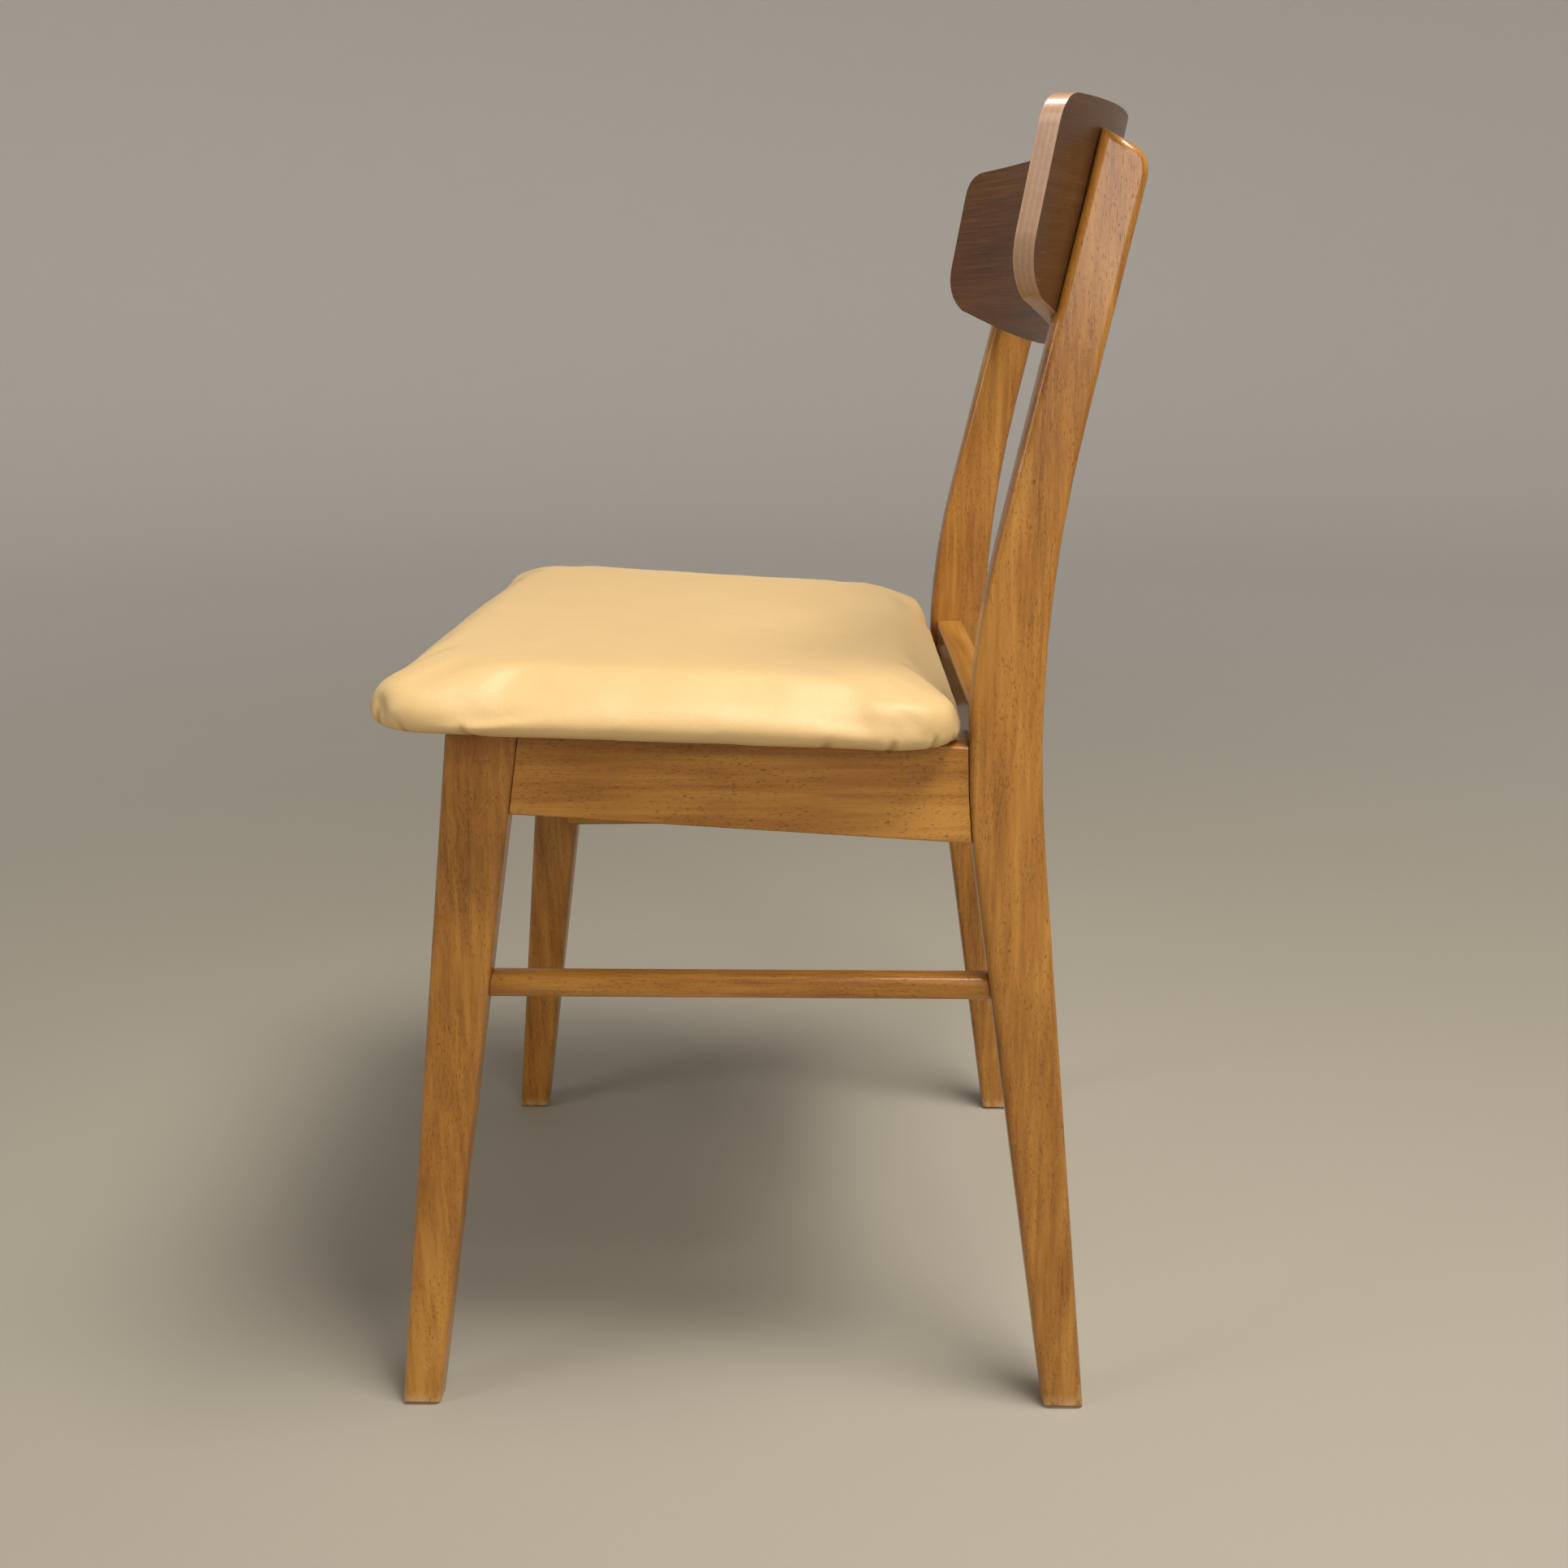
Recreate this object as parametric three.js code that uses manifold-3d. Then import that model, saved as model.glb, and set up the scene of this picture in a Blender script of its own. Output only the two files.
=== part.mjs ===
// Dining chair: moulded plywood back panel, padded seat, splayed beech frame with side stretchers.
// Millimetres, +Z up, the chair faces -Y, the sitter's left is +X, feet stand on z = 0.
import * as THREE from 'three';
import { mergeVertices } from 'three/addons/utils/BufferGeometryUtils.js';
import { RoundedBoxGeometry } from 'three/addons/geometries/RoundedBoxGeometry.js';
import Module from 'manifold-3d';

const wasm = await Module();
wasm.setup();

// ---- sizes -----------------------------------------------------------------
const FIT = 0.3;                 // clearance kept between neighbouring pieces
const LEG_EDGE = 5;              // rounding of the legs' long edges
const RAIL_EDGE = 2;             // rounding of the rails' edges

const FRONT_LEG = {
  thick: 22, footDepth: 24, topDepth: 43.5,
  footFront: -271, topFront: -222, proud: 12,
  footHalfWidth: 213, splay: 0.08,      // outer face at the floor, lean per unit height
};
const REAR_LEG = {
  thick: 22, footDepth: 25, railDepth: 43, belowPanel: 16, topFall: 14, topRound: 13,
  footFront: 133, footRake: -0.138,     // lower part runs forward going up
  backRake: -0.09, uprightRake: 0.236, uprightBackRake: 0.225,
  kneeRise: 16, kneeBackRise: 55,       // above the seat line, where the two straight parts meet
  kneeReach: 95, kneeBackReach: 120,    // how far the bend spreads above and below
  footHalfWidth: 212, splay: 0.058,
};
const SEAT = { height: 425, fall: 0.06 };     // rail top at y = 0 and drop per unit going back
const FRONT_LEG_TOP = SEAT.height + FRONT_LEG.proud;
const KNEE_FRONT = SEAT.height + REAR_LEG.kneeRise;
const KNEE_BACK = SEAT.height + REAR_LEG.kneeBackRise;
const SIDE_RAIL = { deep: 57, thick: 18, recess: 3 };
const FRONT_RAIL = { deep: 56, thick: 20, recess: 8, bracketDeep: 96, bracketRun: 52 };
const REAR_RAIL = { deep: 62, thick: 20, proud: 8, recess: 3 };   // stands above the seat line
const REAR_RAIL_TOP = SEAT.height + REAR_RAIL.proud;
const STRETCHER = { high: 15, thick: 16, recess: 7, mid: 272.5, edge: 5, tenon: 10, tenonLong: 11 };

const PANEL = {
  halfWidth: 216, thick: 9, bow: 400,         // radius of the front face, seen from above
  sunk: 26.2, levelDrop: 68, lean: 0.19,      // front face behind the uprights' front at that depth
  top: 768, topSag: 4,                        // the top edge falls by topSag to the ends
  middleDrop: 128, endDrop: 92,               // heights below the top edge
  topCorner: 16, endCorner: 22,
};
const PAD = {
  frontHalf: 237.5, rearHalf: 213, front: -263, behindKnee: 7.9,
  frontCorner: 50, rearCorner: 50, thick: 30, edge: 10,
  skin: 1.4, wrap: 46, board: 8, inset: 8,
};
const DOWEL = { across: 8, intoLeg: 13, intoRail: 22 };
const BLOCK = { leg: 52, high: 24, drop: 8, land: 12 };
const BLOCK_SCREW = { head: 8, shank: 4, long: 34, headHigh: 3 };
const SEAT_SCREW = { head: 9, shank: 4.5, long: 34, headHigh: 3 };
const PANEL_SCREW = { head: 8, shank: 4, headHigh: 3, intoPanel: 6, plug: 10, plugHigh: 7 };
const PANEL_SCREW_DROPS = { upper: 40, lower: 86 };     // below the panel's top edge

// ---- finishes --------------------------------------------------------------
const finish = (color, roughness, metalness = 0) =>
  () => new THREE.MeshStandardMaterial({ color, roughness, metalness });
const beech = finish(0xb9752f, 0.36);
const beechBlock = finish(0xcfa068, 0.7);
const dowelBeech = finish(0xd8b681, 0.65);
const teak = finish(0x5f4030, 0.42);
const birchPly = finish(0xc9a577, 0.75);
const foamRubber = finish(0xe2d3a4, 0.95);
const leatherette = finish(0xd8ae62, 0.48);
const steel = finish(0x9a9a96, 0.35, 0.9);

// ---- solids ----------------------------------------------------------------
function solid(geometry) {
  const bare = geometry.index ? geometry.toNonIndexed() : geometry.clone();
  for (const name of Object.keys(bare.attributes)) if (name !== 'position') bare.deleteAttribute(name);
  const merged = mergeVertices(bare, 1e-4);
  return new wasm.Manifold(new wasm.Mesh({
    numProp: 3,
    vertProperties: new Float32Array(merged.attributes.position.array),
    triVerts: new Uint32Array(merged.index.array),
  }));
}

function surface(body) {
  const mesh = body.getMesh();
  const geometry = new THREE.BufferGeometry();
  geometry.setAttribute('position', new THREE.BufferAttribute(new Float32Array(mesh.vertProperties), 3));
  geometry.setIndex(new THREE.BufferAttribute(new Uint32Array(mesh.triVerts), 1));
  const flat = geometry.toNonIndexed();
  flat.computeVertexNormals();
  return flat;
}

const cut = (body, ...tools) => tools.reduce((rest, tool) => rest.subtract(tool), body);

// A shape drawn in (y, z) becomes a slab centred on x = 0.
function sideSlab(shape, thick, edge) {
  const geometry = new THREE.ExtrudeGeometry(shape, slabOptions(thick, edge));
  geometry.translate(0, 0, edge - thick / 2);
  return geometry.applyMatrix4(new THREE.Matrix4().makeBasis(
    new THREE.Vector3(0, 1, 0), new THREE.Vector3(0, 0, 1), new THREE.Vector3(1, 0, 0)));
}

// A shape drawn in (x, z) becomes a slab centred on y = 0.
function frontSlab(shape, thick, edge) {
  const geometry = new THREE.ExtrudeGeometry(shape, slabOptions(thick, edge));
  geometry.translate(0, 0, edge - thick / 2);
  return geometry.applyMatrix4(new THREE.Matrix4().makeBasis(
    new THREE.Vector3(1, 0, 0), new THREE.Vector3(0, 0, 1), new THREE.Vector3(0, -1, 0)));
}

function slabOptions(thick, edge) {
  return {
    depth: thick - 2 * edge, bevelEnabled: edge > 0, bevelThickness: edge, bevelSize: edge,
    bevelOffset: -edge, bevelSegments: 3, curveSegments: 8,
  };
}

// x grows by a constant, by lean per unit of z and by drift per unit of y.
function shearX(geometry, offset, lean, drift = 0) {
  return geometry.applyMatrix4(new THREE.Matrix4().set(
    1, drift, lean, offset, 0, 1, 0, 0, 0, 0, 1, 0, 0, 0, 0, 1));
}

function shearY(geometry, offset, lean) {
  return geometry.applyMatrix4(new THREE.Matrix4().set(
    1, 0, 0, 0, 0, 1, lean, offset, 0, 0, 1, 0, 0, 0, 0, 1));
}

const line = (points) => new THREE.Shape(points.map(([a, b]) => new THREE.Vector2(a, b)));
const seatTop = (y) => SEAT.height - SEAT.fall * y;

// Round bar between two points.
function bar(radius, from, to, sides = 14) {
  const a = new THREE.Vector3(...from);
  const b = new THREE.Vector3(...to);
  const geometry = new THREE.CylinderGeometry(radius, radius, a.distanceTo(b), sides);
  geometry.applyQuaternion(new THREE.Quaternion().setFromUnitVectors(
    new THREE.Vector3(0, 1, 0), b.clone().sub(a).normalize()));
  const middle = a.add(b).multiplyScalar(0.5);
  return geometry.translate(middle.x, middle.y, middle.z);
}

// ---- legs ------------------------------------------------------------------
const frontFaceY = (z) => FRONT_LEG.footFront
  + (FRONT_LEG.topFront - FRONT_LEG.footFront) * z / FRONT_LEG_TOP;
const frontBackY = (z) => frontFaceY(z) + FRONT_LEG.footDepth
  + (FRONT_LEG.topDepth - FRONT_LEG.footDepth) * z / FRONT_LEG_TOP;
const frontOuterX = (z) => FRONT_LEG.footHalfWidth - FRONT_LEG.splay * z;
const rearOuterX = (z) => REAR_LEG.footHalfWidth - REAR_LEG.splay * z;

const rearKneeY = REAR_LEG.footFront + REAR_LEG.footRake * KNEE_FRONT;
const rearKneeBackY = REAR_LEG.footFront + REAR_LEG.footDepth + REAR_LEG.backRake * KNEE_BACK;
const uprightFrontY = (z) => rearKneeY + REAR_LEG.uprightRake * (z - KNEE_FRONT);
const uprightBackY = (z) => rearKneeBackY + REAR_LEG.uprightBackRake * (z - KNEE_BACK);
const rearLegTop = PANEL.top - REAR_LEG.belowPanel;
const panelLevel = PANEL.top - PANEL.levelDrop;
const panelMiddle = uprightFrontY(panelLevel) + PANEL.sunk;
const lowerFrontY = (z) => REAR_LEG.footFront + REAR_LEG.footRake * z;
const lowerBackY = (z) => REAR_LEG.footFront + REAR_LEG.footDepth + REAR_LEG.backRake * z;

function frontLegShape(grow) {
  const top = seatTop(frontFaceY(FRONT_LEG_TOP));
  const rearTop = seatTop(frontBackY(FRONT_LEG_TOP));
  return line([
    [frontFaceY(0) - grow, 0], [frontBackY(0) + grow, 0],
    [frontBackY(rearTop) + grow, rearTop + grow], [frontFaceY(top) - grow, top + grow]]);
}

function rearLegShape(grow) {
  const { kneeReach, kneeBackReach, topFall, topRound } = REAR_LEG;
  const height = rearLegTop;
  const shape = new THREE.Shape();
  shape.moveTo(lowerFrontY(0) - grow, 0);
  shape.lineTo(lowerBackY(0) + grow, 0);
  shape.lineTo(lowerBackY(KNEE_BACK - kneeBackReach) + grow, KNEE_BACK - kneeBackReach);
  shape.quadraticCurveTo(rearKneeBackY + grow, KNEE_BACK,
    uprightBackY(KNEE_BACK + kneeBackReach) + grow, KNEE_BACK + kneeBackReach);
  const backTop = new THREE.Vector2(uprightBackY(height - topFall) + grow, height - topFall);
  const frontTop = new THREE.Vector2(uprightFrontY(height) - grow, height);
  const run = frontTop.clone().sub(backTop).setLength(topRound);
  shape.lineTo(uprightBackY(backTop.y - topRound) + grow, backTop.y - topRound);
  shape.quadraticCurveTo(backTop.x, backTop.y, backTop.x + run.x, backTop.y + run.y);
  shape.lineTo(frontTop.x, frontTop.y);
  shape.lineTo(uprightFrontY(KNEE_FRONT + kneeReach) - grow, KNEE_FRONT + kneeReach);
  shape.quadraticCurveTo(rearKneeY - grow, KNEE_FRONT,
    lowerFrontY(KNEE_FRONT - kneeReach) - grow, KNEE_FRONT - kneeReach);
  return shape;
}

function frontLegBody(side, grow = 0) {
  const slab = sideSlab(frontLegShape(grow), FRONT_LEG.thick + 2 * grow, grow > 0 ? 0 : LEG_EDGE);
  const centre = FRONT_LEG.footHalfWidth - FRONT_LEG.thick / 2;
  return solid(shearX(slab, side * centre, -side * FRONT_LEG.splay));
}

function rearLegBody(side, grow = 0) {
  const slab = sideSlab(rearLegShape(grow), REAR_LEG.thick + 2 * grow, grow > 0 ? 0 : LEG_EDGE);
  const centre = REAR_LEG.footHalfWidth - REAR_LEG.thick / 2;
  return solid(shearX(slab, side * centre, -side * REAR_LEG.splay));
}

// ---- rails and stretchers --------------------------------------------------
const RAIL_MID = SEAT.height - SIDE_RAIL.deep / 2;
const railEnds = {
  front: (frontFaceY(RAIL_MID) + frontBackY(RAIL_MID)) / 2,
  rear: lowerFrontY(RAIL_MID) + REAR_LEG.railDepth / 2,
};

function sideLine(side, z, thick, recess) {
  const front = { y: railEnds.front, x: frontOuterX(z) - recess - thick / 2 };
  const rear = { y: railEnds.rear, x: rearOuterX(z) - recess - thick / 2 };
  const drift = (rear.x - front.x) / (rear.y - front.y);
  return { drift: side * drift, offset: side * (front.x - drift * front.y) };
}

function sideRailBody(side) {
  const { deep, thick, recess } = SIDE_RAIL;
  const { front, rear } = railEnds;
  const shape = line([[front, seatTop(front) - deep], [rear, seatTop(rear) - deep],
    [rear, seatTop(rear)], [front, seatTop(front)]]);
  const lean = -side * (FRONT_LEG.splay + REAR_LEG.splay) / 2;
  const { drift, offset } = sideLine(side, RAIL_MID, thick, recess);
  const slab = shearX(sideSlab(shape, thick, RAIL_EDGE), offset - lean * RAIL_MID, lean, drift);
  return cut(solid(slab), frontLegBody(side, FIT), rearLegBody(side, FIT));
}

function stretcherSpan(side) {
  const { thick, recess, mid } = STRETCHER;
  const { drift, offset } = sideLine(side, mid, thick, recess);
  const at = (y) => [offset + drift * y, y, mid];
  const { tenonLong } = STRETCHER;
  return { drift, offset, from: at(frontBackY(mid) - tenonLong), to: at(lowerFrontY(mid) + tenonLong) };
}

function stretcherTenon(side, grow = 0) {
  const { from, to } = stretcherSpan(side);
  return solid(bar(STRETCHER.tenon / 2 + grow, [from[0], from[1] - 2 * grow, from[2]],
    [to[0], to[1] + 2 * grow, to[2]]));
}

function stretcherBody(side) {
  const { high, thick, mid, edge } = STRETCHER;
  const { drift, offset, from, to } = stretcherSpan(side);
  const geometry = new RoundedBoxGeometry(thick, to[1] - from[1], high, 2, edge);
  geometry.translate(0, (to[1] + from[1]) / 2, mid);
  const body = solid(shearX(geometry, offset, 0, drift));
  return cut(body, frontLegBody(side, FIT), rearLegBody(side, FIT)).add(stretcherTenon(side));
}

const frontRailY = frontFaceY(RAIL_MID) + FRONT_RAIL.recess + FRONT_RAIL.thick / 2;
const frontRake = (FRONT_LEG.topFront - FRONT_LEG.footFront) / FRONT_LEG_TOP;
const rearRailY = lowerFrontY(REAR_RAIL_TOP - REAR_RAIL.deep) + REAR_RAIL.recess + REAR_RAIL.thick / 2;
const crossHalf = (outer, thick) => outer - thick / 2;

function frontRailBody() {
  const { deep, thick, bracketDeep, bracketRun } = FRONT_RAIL;
  const half = crossHalf(frontOuterX(RAIL_MID), FRONT_LEG.thick);
  const top = seatTop(frontRailY + thick / 2) - FIT;
  const inner = half - FRONT_LEG.thick / 2 - bracketRun;
  const shape = new THREE.Shape();
  shape.moveTo(-half, top);
  shape.lineTo(-half, top - bracketDeep);
  shape.lineTo(-half + FRONT_LEG.thick / 2, top - bracketDeep);
  shape.quadraticCurveTo(-half + FRONT_LEG.thick / 2 + bracketRun * 0.35, top - deep, -inner, top - deep);
  shape.lineTo(inner, top - deep);
  shape.quadraticCurveTo(half - FRONT_LEG.thick / 2 - bracketRun * 0.35, top - deep,
    half - FRONT_LEG.thick / 2, top - bracketDeep);
  shape.lineTo(half, top - bracketDeep);
  shape.lineTo(half, top);
  const slab = shearY(frontSlab(shape, thick, RAIL_EDGE), frontRailY - frontRake * RAIL_MID, frontRake);
  return cut(solid(slab), frontLegBody(1, FIT), frontLegBody(-1, FIT));
}

function rearRailBody() {
  const { deep, thick } = REAR_RAIL;
  const top = REAR_RAIL_TOP;
  const half = crossHalf(rearOuterX(top), REAR_LEG.thick);
  const shape = line([[-half, top - deep], [half, top - deep], [half, top], [-half, top]]);
  const slab = frontSlab(shape, thick, RAIL_EDGE).translate(0, rearRailY, 0);
  return cut(solid(slab), rearLegBody(1, FIT), rearLegBody(-1, FIT));
}

// ---- dowels: two in every rail end ----------------------------------------
function dowelPlan() {
  const plan = [];
  const { intoLeg, intoRail } = DOWEL;
  for (const [name, side] of [['left', 1], ['right', -1]]) {
    const { drift, offset } = sideLine(side, RAIL_MID, SIDE_RAIL.thick, SIDE_RAIL.recess);
    const x = (y) => offset + drift * y;
    [16, 42].forEach((up, i) => {
      const zf = seatTop(frontBackY(RAIL_MID)) - SIDE_RAIL.deep + up;
      const yf = frontBackY(zf);
      const zr = seatTop(railEnds.rear) - SIDE_RAIL.deep + up;
      const yr = rearFrontAtRail(zr);
      plan.push({ name: `${name}_side_rail_front_dowel_${i + 1}`,
        from: [x(yf - intoLeg), yf - intoLeg, zf], to: [x(yf + intoRail), yf + intoRail, zf] });
      plan.push({ name: `${name}_side_rail_rear_dowel_${i + 1}`,
        from: [x(yr - intoRail), yr - intoRail, zr], to: [x(yr + intoLeg), yr + intoLeg, zr] });
    });
    [29, 49].forEach((up, i) => {
      const z = seatTop(frontRailY) - FRONT_RAIL.deep + up - 2;
      const y = frontRailY + frontRake * (z - RAIL_MID);
      const face = frontOuterX(z) - FRONT_LEG.thick;
      plan.push({ name: `${name}_front_rail_dowel_${i + 1}`,
        from: [side * (face - intoRail), y, z], to: [side * (face + intoLeg), y, z] });
    });
    [20, 53].forEach((up, i) => {
      const z = REAR_RAIL_TOP - REAR_RAIL.deep + up;
      const face = rearOuterX(z) - REAR_LEG.thick;
      plan.push({ name: `${name}_rear_rail_dowel_${i + 1}`,
        from: [side * (face - intoRail), rearRailY, z], to: [side * (face + intoLeg), rearRailY, z] });
    });
  }
  return plan;
}

function rearFrontAtRail(z) {
  const { kneeReach } = REAR_LEG;
  const t = Math.max(0, (z - (KNEE_FRONT - kneeReach)) / (2 * kneeReach));
  const start = lowerFrontY(KNEE_FRONT - kneeReach);
  const end = uprightFrontY(KNEE_FRONT + kneeReach);
  return t > 0 ? (1 - t) ** 2 * start + 2 * t * (1 - t) * rearKneeY + t * t * end : lowerFrontY(z);
}

const dowels = dowelPlan();
const dowelHoles = dowels.map(({ from, to }) => {
  const run = new THREE.Vector3(...to).sub(new THREE.Vector3(...from)).normalize().multiplyScalar(2 * FIT);
  return solid(bar(DOWEL.across / 2 + FIT,
    [from[0] - run.x, from[1] - run.y, from[2] - run.z],
    [to[0] + run.x, to[1] + run.y, to[2] + run.z]));
});

// ---- back panel ------------------------------------------------------------
function panelOutline(grow = 0) {
  const { halfWidth, top, topSag, middleDrop, endDrop, topCorner, endCorner } = PANEL;
  const half = halfWidth + grow;
  const low = top - middleDrop - grow;
  const endLow = top - endDrop - grow;
  const endTop = top - topSag + grow;
  const turn = { x: half - endCorner, z: endLow - endCorner * 0.5 };
  const shape = new THREE.Shape();
  shape.moveTo(0, low);
  shape.bezierCurveTo(half * 0.4, low, half * 0.62, low + (turn.z - low) * 0.3, turn.x, turn.z);
  shape.quadraticCurveTo(half, endLow, half, endLow + endCorner);
  shape.lineTo(half, endTop - topCorner);
  shape.quadraticCurveTo(half, endTop, half - topCorner, endTop);
  shape.quadraticCurveTo(half / 2, top + grow, 0, top + grow);
  shape.quadraticCurveTo(-half / 2, top + grow, -half + topCorner, endTop);
  shape.quadraticCurveTo(-half, endTop, -half, endTop - topCorner);
  shape.lineTo(-half, endLow + endCorner);
  shape.quadraticCurveTo(-half, endLow, -turn.x, turn.z);
  shape.bezierCurveTo(-half * 0.62, low + (turn.z - low) * 0.3, -half * 0.4, low, 0, low);
  return shape;
}

// Bowed strip seen from above, drawn between two radii about a centre in front of the chair.
function bowedSlab(frontOff, backOff) {
  const { bow, lean, top, middleDrop, halfWidth } = PANEL;
  const reach = Math.asin((halfWidth + 14) / bow);
  const centre = panelMiddle - bow;
  const shape = new THREE.Shape();
  shape.absarc(0, centre, bow + frontOff, Math.PI / 2 - reach, Math.PI / 2 + reach, false);
  shape.absarc(0, centre, bow + backOff, Math.PI / 2 + reach, Math.PI / 2 - reach, true);
  const high = middleDrop + 60;
  const geometry = new THREE.ExtrudeGeometry(shape, { depth: high, bevelEnabled: false, curveSegments: 30 });
  geometry.translate(0, 0, top - middleDrop - 30);
  return solid(shearY(geometry, -lean * panelLevel, lean));
}

function panelBody() {
  const prism = frontSlab(panelOutline(), 400, 0).translate(0, panelMiddle - 60, 0);
  return bowedSlab(0, PANEL.thick).intersect(solid(prism));
}

function panelRebate() {
  const prism = frontSlab(panelOutline(FIT), 400, 0).translate(0, panelMiddle - 60, 0);
  return bowedSlab(-60, PANEL.thick + FIT).intersect(solid(prism));
}

const panelFrontY = (x, z) => panelMiddle - PANEL.bow + Math.sqrt(PANEL.bow ** 2 - x * x)
  + PANEL.lean * (z - panelLevel);

// Screws come from behind through the uprights; a wooden plug closes each hole.
function panelFixings() {
  const list = [];
  for (const [name, side] of [['left', 1], ['right', -1]]) {
    for (const [place, drop] of Object.entries(PANEL_SCREW_DROPS)) {
      const z = PANEL.top - drop;
      const x = side * (rearOuterX(z) - REAR_LEG.thick / 2);
      const back = uprightBackY(z);
      const tip = panelFrontY(x, z) + PANEL.thick - PANEL_SCREW.intoPanel;
      const seat = back - PANEL_SCREW.plugHigh - FIT;
      list.push({ name: `${name}_${place}`, x, z, back, tip, seat });
    }
  }
  return list;
}

function screwBody(spec, head, along, long, grow = 0) {
  const dir = new THREE.Vector3(...along).normalize();
  const at = (distance) => new THREE.Vector3(...head).addScaledVector(dir, distance).toArray();
  const top = solid(bar(spec.head / 2 + grow, at(-grow), at(spec.headHigh + grow)));
  const shank = solid(bar(spec.shank / 2 + grow, at(spec.headHigh / 2), at(long + 2 * grow), 10));
  return top.add(shank);
}

const fixings = panelFixings();
const panelScrew = (f, grow = 0) =>
  screwBody(PANEL_SCREW, [f.x, f.seat, f.z], [0, -1, 0], f.seat - f.tip, grow);
const panelPlug = (f) => solid(bar(PANEL_SCREW.plug / 2,
  [f.x, f.back - PANEL_SCREW.plugHigh + FIT, f.z], [f.x, f.back - 0.4, f.z]));
const plugHole = (f) => solid(bar(PANEL_SCREW.plug / 2 + FIT,
  [f.x, f.back - PANEL_SCREW.plugHigh - FIT / 2, f.z], [f.x, f.back + 8, f.z]));

// ---- seat ------------------------------------------------------------------
function padOutline(inset) {
  const { frontHalf, rearHalf, front, frontCorner, rearCorner } = PAD;
  const rear = rearKneeY + PAD.behindKnee;
  const taper = (frontHalf - rearHalf) / (rear - front);
  const half = (y) => frontHalf - taper * (y - front) - inset;
  const yf = front + inset;
  const yr = rear - inset;
  const shape = new THREE.Shape();
  shape.moveTo(-half(yf) + frontCorner, yf);
  shape.lineTo(half(yf) - frontCorner, yf);
  shape.quadraticCurveTo(half(yf), yf, half(yf + frontCorner), yf + frontCorner);
  shape.lineTo(half(yr - rearCorner), yr - rearCorner);
  shape.quadraticCurveTo(half(yr), yr, half(yr) - rearCorner, yr);
  shape.lineTo(-half(yr) + rearCorner, yr);
  shape.quadraticCurveTo(-half(yr), yr, -half(yr - rearCorner), yr - rearCorner);
  shape.lineTo(-half(yf + frontCorner), yf + frontCorner);
  shape.quadraticCurveTo(-half(yf), yf, -half(yf) + frontCorner, yf);
  return shape;
}

// Level slab of the pad outline between two heights, edges rounded by `edge`.
function padSlab(inset, low, high, edge) {
  const geometry = new THREE.ExtrudeGeometry(padOutline(inset), {
    depth: high - low - 2 * edge, bevelEnabled: edge > 0, bevelThickness: edge, bevelSize: edge,
    bevelOffset: -edge, bevelSegments: 3, curveSegments: 6,
  });
  return geometry.translate(0, 0, low + edge);
}

const padLayers = (() => {
  const under = 0.4;
  const board = under + PAD.skin + FIT;
  const foam = board + PAD.board + FIT;
  return { under, board, foam, foamTop: under + PAD.thick - PAD.skin - FIT, top: under + PAD.thick };
})();

function coverBody() {
  const { skin, wrap, edge } = PAD;
  const outer = solid(padSlab(0, padLayers.under, padLayers.top, edge));
  const hollow = solid(padSlab(skin, padLayers.board - FIT, padLayers.foamTop + FIT, edge - skin));
  const mouth = solid(padSlab(wrap, padLayers.under - 5, padLayers.board + 2, 0));
  return cut(outer, hollow, mouth);
}

const boardGeometry = () => padSlab(PAD.skin + PAD.inset, padLayers.board, padLayers.board + PAD.board, 1.5);
const foamGeometry = () => padSlab(PAD.skin + FIT, padLayers.foam, padLayers.foamTop,
  PAD.edge - PAD.skin - FIT);

// ---- corner blocks and the screws in them ---------------------------------
const corners = [
  { name: 'left_front', side: 1, end: -1 }, { name: 'right_front', side: -1, end: -1 },
  { name: 'left_rear', side: 1, end: 1 }, { name: 'right_rear', side: -1, end: 1 },
];

function blockFrame({ side, end }) {
  const z = RAIL_MID;
  const railY = end < 0 ? frontRailY + FRONT_RAIL.thick / 2 : rearRailY - REAR_RAIL.thick / 2;
  const { drift, offset } = sideLine(side, z, SIDE_RAIL.thick, SIDE_RAIL.recess);
  return { x: Math.abs(offset + drift * railY) - SIDE_RAIL.thick / 2, y: railY };
}

function blockBody(corner) {
  const { side, end } = corner;
  const { x, y } = blockFrame(corner);
  const far = y - end * BLOCK.leg;
  const into = 4;
  const shape = line([
    [side * (x + into), y + end * into], [side * (x - BLOCK.leg), y + end * into],
    [side * (x - BLOCK.leg), y - end * BLOCK.land],
    [side * (x - BLOCK.land), far], [side * (x + into), far]]);
  const low = seatTop(y - end * BLOCK.leg / 2) - BLOCK.drop - BLOCK.high;
  const geometry = new THREE.ExtrudeGeometry(shape, { depth: BLOCK.high, bevelEnabled: false });
  const block = solid(geometry.translate(0, 0, low));
  const leg = end < 0 ? frontLegBody(side, 2 * FIT) : rearLegBody(side, 2 * FIT);
  const holes = [blockScrew(corner, 'side', FIT), blockScrew(corner, 'cross', FIT), seatScrew(corner, FIT)];
  const sideRail = sideRailBody(side).translate([-side * FIT, 0, 0]);
  const crossRail = (end < 0 ? frontRailBody() : rearRailBody()).translate([0, -end * FIT, 0]);
  return cut(block, leg, sideRail, crossRail, ...holes);
}

function blockLevel({ end }, y) {
  return seatTop(y - end * BLOCK.leg / 2) - BLOCK.drop - BLOCK.high / 2;
}

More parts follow.
